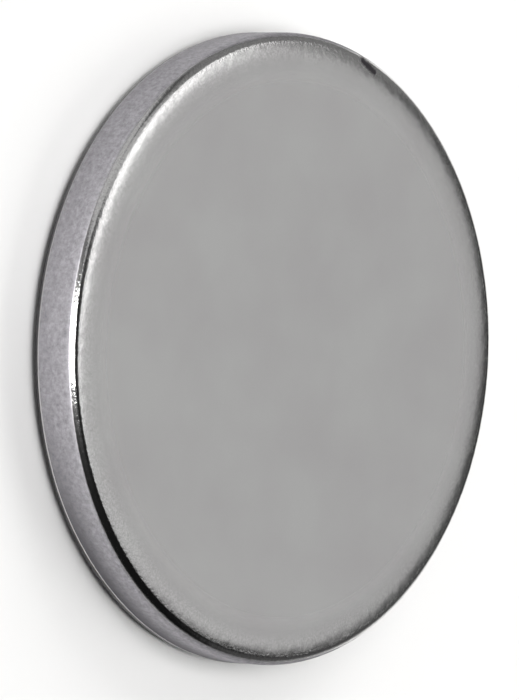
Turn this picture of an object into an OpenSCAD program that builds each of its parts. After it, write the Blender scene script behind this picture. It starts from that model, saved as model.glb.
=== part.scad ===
// Disc magnet: one pressed and sintered disc, ground flat on both pole faces,
// tumbled so that its edges roll over, then plated all over.
// It lies on one pole face. Its axis is +Z, and the origin is the centre of the face that it lies on.

/* [Disc] */
// Outer diameter over the rim
disc_d = 22; // [12:0.5:40]
// Thickness over the two flat pole faces
disc_t = 2; // [1.4:0.1:6]

/* [Tumbled edge] */
// Radius of the tight round at each edge
edge_r = 0.35; // [0.2:0.05:0.5]
// Radius of the gentle fall from each pole face into that round
fall_r = 8; // [3:0.5:9]
// Slope that the face has reached where the tight round takes over, in degrees
fall_angle = 6; // [3:1:9]

/* [Edge nick] */
// Place of the nick around the upper edge, in degrees from +X towards +Y
nick_azimuth = 160; // [0:1:359]
// Direction that the nick faces, in degrees from straight up towards straight out
nick_facing = 18; // [10:1:80]
// Length of the nick between its round ends
nick_length = 0.7; // [0.2:0.05:1.2]
// Radius of the round that dented the edge
nick_r = 0.15; // [0.08:0.01:0.3]
// Depth of the nick at its middle, measured square to the tight round
nick_depth = 0.05; // [0.02:0.01:0.06]
// Lean of the nick inwards from the line of the edge, in degrees
nick_lean = 12; // [0:1:30]

/* [Hidden] */
$fn = 128;

disc_r = disc_d / 2;
mid_z = disc_t / 2;

// The tight round is tangent to the rim and lies inside the arc of the gentle fall.
// It stands proud of that arc by a hair where they meet, so that the two cross cleanly.
arc_lap = 0.001;
centre_gap = fall_r - edge_r + arc_lap;
round_x = disc_r - edge_r;
fall_x = round_x - centre_gap * sin(fall_angle);
fall_z = disc_t - fall_r;
round_z = fall_z + centre_gap * cos(fall_angle);

// Distance of the nick's own axis from the middle of the tight round.
nick_axis_r = edge_r + nick_r - nick_depth;

// Upper half of the section's roll-over, from the flat pole face to the rim, right of the axis.
module roll_over_section() {
    intersection() {
        translate([fall_x, fall_z]) circle(r = fall_r);
        polygon([
            [fall_x, mid_z],
            [fall_x, disc_t],
            [fall_x + fall_r * tan(fall_angle), disc_t],
            [round_x, round_z],
            [round_x, mid_z],
        ]);
    }
    translate([round_x, round_z]) circle(r = edge_r);
}

// Half of the disc's section, right of the axis.
module disc_section() {
    square([fall_x, disc_t]);
    translate([0, disc_t - round_z]) square([disc_r, 2 * round_z - disc_t]);
    roll_over_section();
    translate([0, disc_t]) mirror([0, 1]) roll_over_section();
}

// The short round-ended body that dented the upper edge, in its place.
module nick_tool() {
    rotate([0, 0, nick_azimuth])
        translate([round_x, 0, round_z])
        rotate([0, nick_facing, 0])
        translate([0, 0, nick_axis_r])
        rotate([90, 0, -nick_lean]) {
            cylinder(r = nick_r, h = nick_length, center = true);
            for (side = [-1, 1])
                translate([0, 0, side * nick_length / 2]) sphere(r = nick_r);
        }
}

module magnet_disc() {
    color([0.63, 0.62, 0.61])
        difference() {
            rotate_extrude() disc_section();
            nick_tool();
        }
}

magnet_disc();
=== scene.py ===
import math

import bpy
from mathutils import Matrix, Quaternion, Vector


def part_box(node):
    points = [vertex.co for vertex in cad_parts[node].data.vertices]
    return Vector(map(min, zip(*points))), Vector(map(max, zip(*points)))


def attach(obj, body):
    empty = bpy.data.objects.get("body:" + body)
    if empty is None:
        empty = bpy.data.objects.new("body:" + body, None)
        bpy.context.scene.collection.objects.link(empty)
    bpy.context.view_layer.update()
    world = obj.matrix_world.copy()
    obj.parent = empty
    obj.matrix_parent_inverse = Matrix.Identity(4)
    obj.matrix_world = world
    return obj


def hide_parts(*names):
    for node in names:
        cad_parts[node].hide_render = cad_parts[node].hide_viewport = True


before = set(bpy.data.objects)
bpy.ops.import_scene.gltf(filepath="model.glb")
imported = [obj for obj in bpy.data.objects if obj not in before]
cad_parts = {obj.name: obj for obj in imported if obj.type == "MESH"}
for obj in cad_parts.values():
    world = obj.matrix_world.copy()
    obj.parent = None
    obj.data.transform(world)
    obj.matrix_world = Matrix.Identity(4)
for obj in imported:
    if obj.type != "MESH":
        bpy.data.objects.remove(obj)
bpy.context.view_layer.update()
bpy.context.scene.view_settings.view_transform = "Standard"


# The disc is one pressed and sintered magnet body, ground flat on both pole faces.
# Tumbling rolls its edges over: each face falls away gently, then a tight round runs into the rim.
# Nickel is then plated all over it, so body and plating are one piece.

MM = 0.001
disc_low, disc_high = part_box("magnet_disc")
disc_r = min(-disc_low.x, disc_high.x, -disc_low.y, disc_high.y)
disc_t = disc_high.z
edge_r = 0.35 * MM
fall_r = 8.0 * MM
fall_slope = math.radians(6)
round_x = disc_r - edge_r
fall_x = round_x - (fall_r - edge_r) * math.sin(fall_slope)
fall_z = disc_t - fall_r
round_z = fall_z + (fall_r - edge_r) * math.cos(fall_slope)
rim_foot = disc_t - round_z

# Half of the section, from the middle of the upper face round the edge to the middle of the lower face.
# The upper edge shows most, so it has the most points.
upper_face_shares = (0.35, 0.7, 1.0)
upper_fall_steps = 16
upper_round_steps = 22
rim_steps = 4
lower_round_steps = 10
lower_fall_steps = 3
lower_face_shares = (0.5, 0.0)
quarter_turn = math.pi / 2
half_turn = math.pi


def arc_points(centre, radius, slope_from, slope_to, steps):
    """Points along a round of the section, where a slope of 0 faces up and a quarter turn faces outwards."""
    points = []
    for step in range(1, steps + 1):
        slope = slope_from + (slope_to - slope_from) * step / steps
        points.append((centre[0] + radius * math.sin(slope), centre[1] + radius * math.cos(slope)))
    return points


section = [(fall_x * share, disc_t) for share in upper_face_shares]
section += arc_points((fall_x, fall_z), fall_r, 0, fall_slope, upper_fall_steps)
section += arc_points((round_x, round_z), edge_r, fall_slope, quarter_turn, upper_round_steps)
section += [(disc_r, round_z + (rim_foot - round_z) * step / rim_steps) for step in range(1, rim_steps + 1)]
section += arc_points((round_x, rim_foot), edge_r, quarter_turn, half_turn - fall_slope, lower_round_steps)
section += arc_points((fall_x, disc_t - fall_z), fall_r, half_turn - fall_slope, half_turn, lower_fall_steps)
section += [(fall_x * share, 0.0) for share in lower_face_shares]

# A small plane is merged to one point, which is drawn out along the section and turned on a lathe.
lathe_steps = 1440
weld_gap = 0.0001 * MM
bpy.ops.object.select_all(action="DESELECT")
bpy.ops.mesh.primitive_plane_add(size=MM, location=(0, 0, disc_t))
disc = bpy.context.object
disc.name = "nickel_plated_disc"
bpy.ops.object.transform_apply(location=True, rotation=True, scale=True)
bpy.ops.object.mode_set(mode="EDIT")
bpy.ops.mesh.select_all(action="SELECT")
bpy.ops.mesh.merge(type="CENTER")
here = (0.0, disc_t)
for point in section:
    step_out = (point[0] - here[0], 0, point[1] - here[1])
    bpy.ops.mesh.extrude_region_move(TRANSFORM_OT_translate={"value": step_out})
    here = point
bpy.ops.object.mode_set(mode="OBJECT")

lathe = disc.modifiers.new("lathe", "SCREW")
lathe.axis = "Z"
lathe.angle = 2 * math.pi
lathe.steps = lathe_steps
lathe.render_steps = lathe_steps
lathe.use_merge_vertices = True
lathe.merge_threshold = weld_gap
bpy.ops.object.modifier_apply(modifier=lathe.name)

bpy.ops.object.mode_set(mode="EDIT")
bpy.ops.mesh.select_all(action="SELECT")
bpy.ops.mesh.remove_doubles(threshold=weld_gap)
bpy.ops.mesh.normals_make_consistent(inside=False)
bpy.ops.object.mode_set(mode="OBJECT")
bpy.ops.object.shade_smooth()

# The plating follows a slightly uneven body where the edge was tumbled, so the round is not perfectly even.
# The unevenness only ever takes material away.
lump_size = 0.4 * MM
lump_height = 0.005 * MM
rolled = disc.vertex_groups.new(name="rolled_edge")
for vertex in disc.data.vertices:
    reach = math.hypot(vertex.co.x, vertex.co.y)
    if reach > fall_x:
        rolled.add([vertex.index], min(1.0, (reach - fall_x) / (round_x - fall_x)), "REPLACE")
uneven_noise = bpy.data.textures.new("tumbled_unevenness", "CLOUDS")
uneven_noise.noise_scale = lump_size
uneven_noise.noise_depth = 1
unevenness = disc.modifiers.new("tumbled_unevenness", "DISPLACE")
unevenness.texture = uneven_noise
unevenness.texture_coords = "LOCAL"
unevenness.direction = "NORMAL"
unevenness.mid_level = 1.0
unevenness.strength = lump_height
unevenness.vertex_group = rolled.name
bpy.ops.object.modifier_apply(modifier=unevenness.name)

# One nick in the upper edge, where something hard has dented it. It is as wide as the solid's nick,
# and shallower, because steep walls would glint.
nick_azimuth = math.radians(160)
nick_facing = math.radians(18)
nick_length = 0.7 * MM
nick_r = 0.15 * MM
nick_depth = 0.05 * MM
nick_lean = math.radians(12)
shown_depth = 0.2 * nick_depth
dent_r = math.sqrt(2 * nick_depth * nick_r * edge_r / (nick_r + edge_r))
dent_roundness = 1.5
nick_turn = Matrix.Rotation(nick_azimuth, 3, "Z")
nick_tilt = nick_turn @ Matrix.Rotation(nick_facing, 3, "Y")
nick_middle = nick_turn @ Vector((round_x, 0, round_z)) + nick_tilt @ Vector((0, 0, edge_r))
nick_along = nick_tilt @ Matrix.Rotation(-nick_lean, 3, "Z") @ Vector((0, 1, 0))


def distance_from_nick(point, middle):
    """Distance of a point from a line as long as the nick, laid along it through the given middle."""
    offset = point - middle
    reach_along = max(-nick_length / 2, min(nick_length / 2, offset.dot(nick_along)))
    return (offset - nick_along * reach_along).length


dent = disc.vertex_groups.new(name="nick")
for vertex in disc.data.vertices:
    distance = distance_from_nick(vertex.co, nick_middle)
    if distance < dent_r:
        dent.add([vertex.index], (1 - (distance / dent_r) ** 2) ** dent_roundness, "REPLACE")
nick = disc.modifiers.new("nick", "DISPLACE")
nick.direction = "NORMAL"
nick.mid_level = 0.0
nick.strength = -shown_depth
nick.vertex_group = dent.name
bpy.ops.object.modifier_apply(modifier=nick.name)

# The painted shade in the nick reaches a little past it, towards the middle of the face.
nick_shade_r = 1.5 * nick_r
nick_shade_shift = 0.09 * MM
nick_shade_middle = nick_middle + nick_turn @ Vector((-nick_shade_shift, 0, 0))
painted_nick_shade = disc.data.attributes.new("painted_nick_shade", "FLOAT", "POINT")
for vertex in disc.data.vertices:
    painted_nick_shade.data[vertex.index].value = max(0.0, 1 - distance_from_nick(vertex.co, nick_shade_middle) / nick_shade_r)

# Nickel plate: satin and neutral grey on the ground faces, bright on the tumbled rounds,
# and cooler, dull and speckled on the rim, whose finish starts part of the way down the upper round.
nickel = bpy.data.materials.new("satin_nickel_plate")
nickel.use_nodes = True
tree = nickel.node_tree
plate = tree.nodes["Principled BSDF"]
noise_low = 0.3
noise_middle = 0.5
noise_high = 0.7


def math_node(tree, operation, first, second=None):
    """A Math node with its inputs given as sockets or numbers, returning its output."""
    made = tree.nodes.new("ShaderNodeMath")
    made.operation = operation
    for index, value in enumerate((first, second)):
        if value is None:
            continue
        if isinstance(value, (int, float)):
            made.inputs[index].default_value = value
        else:
            tree.links.new(value, made.inputs[index])
    return made.outputs[0]


def plus(tree, first, second):
    """The sum of two sockets or numbers."""
    return math_node(tree, "ADD", first, second)


def minus(tree, first, second):
    """The first socket or number less the second."""
    return math_node(tree, "SUBTRACT", first, second)


def times(tree, first, second):
    """The product of two sockets or numbers."""
    return math_node(tree, "MULTIPLY", first, second)


def spread(tree, value, low, high, to_low=0.0, to_high=1.0):
    """Maps a value smoothly from one range to another, and holds it at both ends."""
    made = tree.nodes.new("ShaderNodeMapRange")
    made.interpolation_type = "SMOOTHSTEP"
    tree.links.new(value, made.inputs["Value"])
    made.inputs["From Min"].default_value = low
    made.inputs["From Max"].default_value = high
    made.inputs["To Min"].default_value = to_low
    made.inputs["To Max"].default_value = to_high
    return made.outputs["Result"]


def blend(tree, share, first, second):
    """Mixes two values, given as sockets or numbers, by a share."""
    made = tree.nodes.new("ShaderNodeMix")
    tree.links.new(share, made.inputs["Factor"])
    for socket, value in ((made.inputs["A"], first), (made.inputs["B"], second)):
        if isinstance(value, (int, float)):
            socket.default_value = value
        else:
            tree.links.new(value, socket)
    return made.outputs["Result"]


def noise_at(tree, vector, size, detail, roughness=0.5):
    """Noise whose main lumps are about the given size across."""
    made = tree.nodes.new("ShaderNodeTexNoise")
    made.inputs["Scale"].default_value = 1 / size
    made.inputs["Detail"].default_value = detail
    made.inputs["Roughness"].default_value = roughness
    tree.links.new(vector, made.inputs["Vector"])
    return made.outputs["Fac"]


def two_tones(tree, value, low_tone, high_tone):
    """A ramp between two colours over the middle of a noise's range."""
    made = tree.nodes.new("ShaderNodeValToRGB")
    made.color_ramp.elements[0].position = noise_low
    made.color_ramp.elements[0].color = (*low_tone, 1)
    made.color_ramp.elements[1].position = noise_high
    made.color_ramp.elements[1].color = (*high_tone, 1)
    tree.links.new(value, made.inputs["Fac"])
    return made.outputs["Color"]


def tinted(tree, share, tone, other_tone):
    """Mixes a colour towards another, given as a socket or as plain numbers, by a share."""
    made = tree.nodes.new("ShaderNodeMix")
    made.data_type = "RGBA"
    tree.links.new(share, made.inputs["Factor"])
    tree.links.new(tone, made.inputs["A"])
    if isinstance(other_tone, tuple):
        made.inputs["B"].default_value = (*other_tone, 1)
    else:
        tree.links.new(other_tone, made.inputs["B"])
    return made.outputs["Result"]


place = tree.nodes.new("ShaderNodeTexCoord").outputs["Object"]
split = tree.nodes.new("ShaderNodeSeparateXYZ")
tree.links.new(place, split.inputs["Vector"])
across = split.outputs["X"]
along = split.outputs["Y"]
height = split.outputs["Z"]
across_square = times(tree, across, across)
radius = math_node(tree, "SQRT", plus(tree, across_square, times(tree, along, along)))

# Grain of the plate: soft clouds on the faces, grit on their fall, grain on the rounds and specks on the rim.
cloud_size = 2.6 * MM
grain_size = 0.13 * MM
speck_size = 0.17 * MM
grit_size = 0.065 * MM
cloudy = noise_at(tree, place, cloud_size, detail=2.0)
grain = noise_at(tree, place, grain_size, detail=2.0, roughness=0.6)
specks = noise_at(tree, place, speck_size, detail=4.0, roughness=0.8)
grit = minus(tree, noise_at(tree, place, grit_size, detail=2.0, roughness=0.7), noise_middle)

# Tumbling leaves short bristles that run outwards over the fall of the face.
bristle_width = 0.13 * MM
bristle_squeeze = 0.15
bristle_place = tree.nodes.new("ShaderNodeCombineXYZ")
tree.links.new(math_node(tree, "DIVIDE", across, radius), bristle_place.inputs["X"])
tree.links.new(math_node(tree, "DIVIDE", along, radius), bristle_place.inputs["Y"])
tree.links.new(times(tree, radius, bristle_squeeze / disc_r), bristle_place.inputs["Z"])
bristles = noise_at(tree, bristle_place.outputs["Vector"], bristle_width / disc_r, detail=2.0)

# Where each finish lies. The rim's finish has a ragged top, which is higher on the -X and +X sides,
# and its foot is higher on the +X side. Its colour reaches a little higher than its dullness.
rim_top = round_z + edge_r * math.cos(math.radians(60))
rim_raggedness = 0.03 * MM
top_rise = 0.085 * MM
foot_rise = 0.11 * MM
on_flat = spread(tree, radius, fall_x - 0.7 * MM, fall_x + 0.1 * MM, 1.0, 0.0)
on_grit = spread(tree, radius, fall_x - 0.2 * MM, fall_x + 0.5 * MM)
on_fall = spread(tree, radius, fall_x + 0.2 * MM, round_x + 0.05 * MM)
on_round = spread(tree, radius, round_x - 0.12 * MM, round_x + 0.04 * MM)
below_middle = spread(tree, height, disc_t / 2, disc_t / 2 + 0.1 * MM, 1.0, 0.0)
on_lower_round = times(tree, below_middle, on_round)
risen_top = spread(tree, across_square, (0.84 * disc_r) ** 2, (0.985 * disc_r) ** 2, 0.0, top_rise)
# The raised foot lifts the lower round's painted shade and painted highlight line on the +X side.
risen_foot = spread(tree, across, 0.45 * disc_r, 0.85 * disc_r, 0.0, foot_rise)
ragged_height = minus(tree, plus(tree, height, times(tree, grain, rim_raggedness)), risen_top)
foot_height = minus(tree, height, risen_foot)
above_foot = spread(tree, foot_height, rim_foot, rim_foot + 0.02 * MM)
below_tone_top = spread(tree, ragged_height, rim_top, rim_top + 0.06 * MM, 1.0, 0.0)
below_dull_top = spread(tree, ragged_height, rim_top - 0.03 * MM, rim_top + 0.05 * MM, 1.0, 0.0)
on_rim = times(tree, above_foot, below_tone_top)
dulled = times(tree, above_foot, below_dull_top)

# The ground face is satin: it scatters part of its light all ways, and its tone is lower to match.
satin_metallic = 0.7
satin_level = 0.735
face_grit = 0.06
fall_grit = 0.6
face_low_tone = (0.618, 0.607, 0.606)
face_high_tone = (0.660, 0.658, 0.650)
tree.links.new(blend(tree, on_flat, 1.0, satin_metallic), plate.inputs["Metallic"])
face_tone = two_tones(tree, cloudy, face_low_tone, face_high_tone)
grit_share = plus(tree, face_grit, times(tree, on_grit, fall_grit))
face_level = plus(tree, 1.0, times(tree, grit, grit_share))
face_level = times(tree, face_level, blend(tree, on_flat, 1.0, satin_level))
gritty_tone = tree.nodes.new("ShaderNodeVectorMath")
gritty_tone.operation = "SCALE"
tree.links.new(face_tone, gritty_tone.inputs["Vector"])
tree.links.new(face_level, gritty_tone.inputs["Scale"])

# The lower round has painted shade, with a painted highlight line along its top that is strongest on the +X
# side.
line_low = rim_foot - 0.055 * MM
line_high = rim_foot - 0.03 * MM
lower_round_shade_tone = (0.09, 0.087, 0.093)
highlight_line_tone = (0.96, 0.95, 0.94)
under_shade_tone = tinted(tree, on_lower_round, gritty_tone.outputs["Vector"], lower_round_shade_tone)
line_share = spread(tree, across, -0.6 * disc_r, 0.5 * disc_r, 0.25, 0.75)
on_line = times(tree, spread(tree, foot_height, line_low, line_high), on_lower_round)
lined_tone = tinted(tree, times(tree, on_line, line_share), under_shade_tone, highlight_line_tone)

# The rim is speckled, and carries painted shade towards its foot, most on the +X side.
shade_height = 1.25 * MM
rim_low_tone = (0.222, 0.214, 0.229)
rim_high_tone = (0.424, 0.415, 0.434)
rim_shade_tone = (0.10, 0.096, 0.105)
rim_tone = two_tones(tree, specks, rim_low_tone, rim_high_tone)
foot_shade = spread(tree, height, rim_foot, rim_foot + shade_height, 1.0, 0.0)
side_shade = spread(tree, across, 0.15 * disc_r, 0.75 * disc_r, 0.20, 0.95)
shaded_rim = tinted(tree, times(tree, foot_shade, side_shade), rim_tone, rim_shade_tone)
plated_tone = tinted(tree, on_rim, lined_tone, shaded_rim)

# The painted shade in the nick has a ragged and patchy border.
nick_shade_raggedness = 0.9
nick_shade_patchiness = 0.8
nick_shade_tone = (0.075, 0.07, 0.076)
in_nick = tree.nodes.new("ShaderNodeAttribute")
in_nick.attribute_name = "painted_nick_shade"
nick_share = in_nick.outputs["Fac"]
ragged_nick = plus(tree, nick_share, times(tree, grit, nick_shade_raggedness))
patches = times(tree, minus(tree, specks, noise_middle), nick_shade_patchiness)
nick_shaded = spread(tree, plus(tree, ragged_nick, patches), 0.05, 0.7)
nick_shaded = times(tree, nick_shaded, spread(tree, nick_share, 0.0, 0.15))
tree.links.new(tinted(tree, nick_shaded, plated_tone, nick_shade_tone), plate.inputs["Base Color"])

# The rounds are smoother than the faces, and the rim and the nick's painted shade are rough.
edge_rough = 0.15
nick_shade_rough = 0.7
face_rough = spread(tree, cloudy, noise_low, noise_high, 0.193, 0.203)
polished_rough = blend(tree, spread(tree, radius, fall_x, fall_x + 0.5 * MM), face_rough, edge_rough)
rim_rough = spread(tree, specks, noise_low, noise_high, 0.72, 0.80)
plated_rough = blend(tree, dulled, polished_rough, rim_rough)
tree.links.new(blend(tree, nick_shaded, plated_rough, nick_shade_rough), plate.inputs["Roughness"])

# Fine relief: bristles and grit on the fall, and a stronger grain on the rounds and the rim.
relief_height = 0.006 * MM
bristle_share = 0.08
grit_relief_share = 0.075
grain_share = 1.1
bristle_relief = times(tree, minus(tree, bristles, noise_middle), times(tree, on_fall, bristle_share))
grit_relief = times(tree, grit, times(tree, on_grit, grit_relief_share))
round_relief = times(tree, minus(tree, grain, noise_middle), times(tree, on_round, grain_share))
relief = plus(tree, plus(tree, bristle_relief, grit_relief), round_relief)
bump = tree.nodes.new("ShaderNodeBump")
bump.inputs["Strength"].default_value = 1.0
bump.inputs["Distance"].default_value = relief_height
tree.links.new(relief, bump.inputs["Height"])
tree.links.new(bump.outputs["Normal"], plate.inputs["Normal"])

disc.data.materials.append(nickel)
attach(disc, "root")
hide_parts("magnet_disc")


# The table is a plain matt white sheet that the disc lies on, far wider than the picture.
# It takes the disc's soft shadow, and three broad lamps bring the rest of it close to white.

table_size = 3.0
table_tone = (0.82, 0.817, 0.81)
bpy.ops.object.select_all(action="DESELECT")
bpy.ops.mesh.primitive_plane_add(size=table_size)
table = bpy.context.object
table.name = "white_table"
paper = bpy.data.materials.new("matt_white_table")
paper.use_nodes = True
paper_face = paper.node_tree.nodes["Principled BSDF"]
paper_face.inputs["Base Color"].default_value = (*table_tone, 1)
paper_face.inputs["Roughness"].default_value = 1.0
paper_face.inputs["Specular IOR Level"].default_value = 0.0
table.data.materials.append(paper)


# The lamps are three boxes that only the metal mirrors, and three broad lamps that it does not mirror.
# Each place is given in degrees around and up, where 0 around is behind the disc, 90 is towards -X,
# and 180 is the camera's side. A lamp's power is 4 times its radiance times its area.

lamp_distance = 0.6
power_factor = 4


def studio_direction(around, up):
    """Unit vector towards a place in the studio, in degrees around and up."""
    around = math.radians(around)
    up = math.radians(up)
    return Vector((-math.sin(around) * math.cos(up), math.cos(around) * math.cos(up), math.sin(up)))


def soft_box(name, around, up, wide, tall, radiance, roll=0):
    """A flat lamp that faces the disc; width, height and roll are angles in degrees as seen from the disc."""
    width = 2 * lamp_distance * math.tan(math.radians(wide) / 2)
    length = 2 * lamp_distance * math.tan(math.radians(tall) / 2)
    data = bpy.data.lights.new(name, "AREA")
    data.shape = "RECTANGLE"
    data.size = width
    data.size_y = length
    data.energy = radiance * power_factor * width * length
    lamp = bpy.data.objects.new(name, data)
    bpy.context.scene.collection.objects.link(lamp)
    direction = studio_direction(around, up)
    lamp.location = direction * lamp_distance
    lamp.rotation_mode = "QUATERNION"
    lamp.rotation_quaternion = direction.to_track_quat("Z", "Y") @ Quaternion((0, 0, 1), math.radians(roll))
    lamp.visible_camera = False
    return lamp


metal_boxes = [
    soft_box("low_back_box", around=7, up=53.8, wide=26, tall=3.8, radiance=1.0, roll=-42),
    soft_box("high_corner_box", around=19, up=50, wide=12, tall=15, radiance=0.42),
    soft_box("overhead_strip_box", around=180, up=36, wide=14, tall=72, radiance=18.0),
]
for box in metal_boxes:
    box.visible_diffuse = False
table_lamps = [
    soft_box("overhead_table_lamp", around=165, up=80, wide=36, tall=30, radiance=4.76),
    soft_box("low_side_table_lamp", around=62, up=28, wide=42, tall=30, radiance=3.06),
    soft_box("rear_table_lamp", around=345, up=40, wide=40, tall=34, radiance=2.58),
]
for lamp in table_lamps:
    lamp.visible_glossy = False


# The walls are plain levels of white light: dark towards +X, pale towards -X, and a back wall between them
# whose foot rises in an arch to both sides. A dimmer wall stands behind the camera, and the ceiling is dark.

walls = bpy.data.worlds.new("studio_walls")
walls.use_nodes = True
bpy.context.scene.world = walls
tree = walls.node_tree
seen = tree.nodes.new("ShaderNodeSeparateXYZ")
tree.links.new(tree.nodes.new("ShaderNodeTexCoord").outputs["Generated"], seen.inputs["Vector"])
to_side = seen.outputs["X"]
to_back = seen.outputs["Y"]
upward = seen.outputs["Z"]


def height_at(degrees):
    """How far up a unit vector points when it rises by the given angle."""
    return math.sin(math.radians(degrees))


# The dark wall is lighter at its foot and a little lighter towards the back.
dark_level = 0.005
dark_foot_level = 0.34
dark_back_level = 0.08
dark_wall = spread(tree, upward, height_at(8), height_at(20), dark_foot_level, dark_level)
dark_back = spread(tree, to_back, 0.45, 0.62)
dark_back = times(tree, dark_back, spread(tree, upward, height_at(36), height_at(45), 1.0, 0.0))
dark_wall = plus(tree, dark_wall, times(tree, dark_back, dark_back_level))

# The back wall stands over its arch up to the ceiling, is brightest on its right and dims in its left corner.
back_level = 0.575
arch_level = 0.05
ceiling_share = 0.08
right_share = 1.2
corner_level = 0.24
right_slope = 0.55
left_slope = 1.2
left_start = -0.06
arch_right = times(tree, math_node(tree, "MAXIMUM", to_side, 0.0), right_slope)
past_left = math_node(tree, "MAXIMUM", minus(tree, left_start, to_side), 0.0)
arch_left = times(tree, past_left, left_slope)
over_arch = minus(tree, upward, plus(tree, arch_right, arch_left))
back_wall = spread(tree, over_arch, height_at(29), height_at(36), arch_level, back_level)
back_wall = times(tree, back_wall, spread(tree, upward, height_at(55), height_at(61), 1.0, ceiling_share))
back_wall = times(tree, back_wall, spread(tree, to_side, 0.03, 0.085, 1.0, right_share))
back_wall = blend(tree, spread(tree, to_side, -0.13, -0.17), back_wall, corner_level)

# The pale wall and the near wall both darken towards the ceiling.
pale_level = 0.58
pale_top_level = 0.06
near_level = 0.28
near_top_level = 0.08
pale_wall = spread(tree, upward, height_at(67), height_at(73), pale_level, pale_top_level)
near_wall = spread(tree, upward, height_at(10), height_at(55), near_level, near_top_level)

# How far each wall reaches round the disc. The pale wall and the near wall meet in a corner.
corner_slope = 0.8
back_share = spread(tree, to_side, 0.135, 0.17, 1.0, 0.0)
back_share = times(tree, spread(tree, to_back, 0.05, 0.35), back_share)
past_corner = minus(tree, to_side, times(tree, to_back, corner_slope))
pale_reach = math_node(tree, "MAXIMUM", spread(tree, to_back, 0.15, -0.1), spread(tree, upward, 0.775, 0.835))
pale_share = times(tree, spread(tree, to_side, -0.1, -0.2), spread(tree, past_corner, 0.05, -0.1))
pale_share = times(tree, pale_share, pale_reach)
near_share = times(tree, spread(tree, to_back, -0.4, -0.7), spread(tree, to_side, 0.4, 0.1))
near_share = times(tree, near_share, spread(tree, past_corner, -0.1, 0.05))
wall_level = blend(tree, back_share, dark_wall, back_wall)
wall_level = blend(tree, pale_share, wall_level, pale_wall)
wall_level = blend(tree, near_share, wall_level, near_wall)
tree.links.new(wall_level, tree.nodes["Background"].inputs["Strength"])
tree.nodes["Background"].inputs["Color"].default_value = (1, 1, 1, 1)


# The camera looks down on the disc from the side, on a long lens, and is turned on its side.
# Its angles, distance and aim were measured from the ellipses that the disc's edges make in the picture.

picture_width = 519
picture_height = 700
disc_middle_px = (268.3, 348.5)
disc_radius_px = 316.0
camera_tilt = math.radians(48.23)
camera_roll = math.radians(90 + 2.165)
camera_distance = 25 * disc_r
px_per_metre = disc_radius_px / disc_r
camera_data = bpy.data.cameras.new("camera")
camera_data.sensor_width = 36
camera_data.lens = camera_data.sensor_width * px_per_metre * camera_distance / picture_height
camera_data.clip_start = 0.01
camera = bpy.data.objects.new("camera", camera_data)
bpy.context.scene.collection.objects.link(camera)
turn = Matrix.Rotation(camera_tilt, 4, "X") @ Matrix.Rotation(camera_roll, 4, "Z")
right = turn.to_3x3() @ Vector((1, 0, 0))
up = turn.to_3x3() @ Vector((0, 1, 0))
back = turn.to_3x3() @ Vector((0, 0, 1))
aim = Vector((0, 0, disc_t / 2))
aim -= right * (disc_middle_px[0] - picture_width / 2) / px_per_metre
aim -= up * (picture_height / 2 - disc_middle_px[1]) / px_per_metre
camera.matrix_world = Matrix.Translation(aim + back * camera_distance) @ turn
bpy.context.scene.camera = camera
